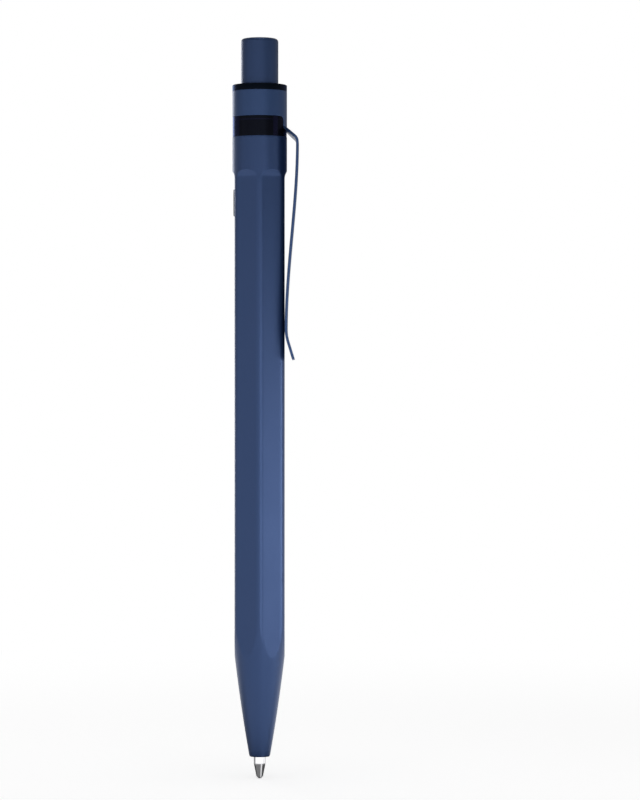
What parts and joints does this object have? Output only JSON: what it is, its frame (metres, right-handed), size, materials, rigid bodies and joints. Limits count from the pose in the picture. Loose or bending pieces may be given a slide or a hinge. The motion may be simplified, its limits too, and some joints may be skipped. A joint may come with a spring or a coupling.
{
  "type": "retractable ballpoint pen",
  "caption": "Retractable ballpoint pen with a hexagonal barrel, round collar, flat spring clip and push button that works a toothed indexing mechanism.",
  "frame": {"origin": "lowest point of the writing ball, on the pen's axis, with the point out", "axes": "+Z along the pen from the writing point to the push button, +X from the axis towards the clip"},
  "size_m": [0.0126, 0.0104, 0.1408],
  "materials": {
    "barrel_plastic": "satin, soft to the touch",
    "pad_plastic": "satin",
    "smoked_plastic": "smoked, almost opaque",
    "rim_plastic": "smooth",
    "clip_paint": "satin paint",
    "button_plastic": "satin",
    "crown_plastic": "moulded",
    "rotor_plastic": "moulded",
    "holder_plastic": "moulded",
    "tube_plastic": "translucent",
    "grease": "clear jelly",
    "ink": "liquid",
    "tip_metal": "turned nickel silver",
    "ball_metal": "ground",
    "spring_steel": "drawn wire"
  },
  "bodies": {
    "pen_body": {"barrel": "barrel_plastic", "rear_pad": "pad_plastic", "guide_sleeve": "smoked_plastic", "top_bush": "rim_plastic", "clip_ring": "clip_paint", "return_spring": "spring_steel"},
    "button": {"push_button": "button_plastic", "thrust_crown": "crown_plastic"},
    "refill": {"rotor": "rotor_plastic", "refill_plug": "holder_plastic", "refill_tube": "tube_plastic", "grease_follower": "grease", "ink_column": "ink", "tip_holder": "holder_plastic", "point_cone": "tip_metal"},
    "ball": {"writing_ball": "ball_metal"},
    "clip": {"clip_blade": "clip_paint"}
  },
  "joints": [
    {"name": "button_press", "type": "slide", "parent": "pen_body", "child": "button", "axis": [0, 0, 1], "range_m": [-0.0015, 0.0055], "stiffness_N_per_m": 300},
    {"name": "refill_slide", "type": "slide", "parent": "pen_body", "child": "refill", "axis": [0, 0, 1], "range_m": [-0.0015, 0.0055], "deforming": ["return_spring"]},
    {"name": "clip_flex", "type": "hinge", "parent": "pen_body", "child": "clip", "pos_m": [0.0052, 0, 0.12345], "axis": [0, -1, 0], "range_deg": [0, 3.5], "stiffness_Nm_per_rad": 0.4},
    {"name": "ball_roll", "type": "hinge", "parent": "refill", "child": "ball", "pos_m": [0, 0, 0.0005], "axis": [0, 1, 0], "continuous": true}
  ],
  "couplings": [
    {"joint": "refill_slide", "follows": "button_press", "ratio": 1}
  ]
}
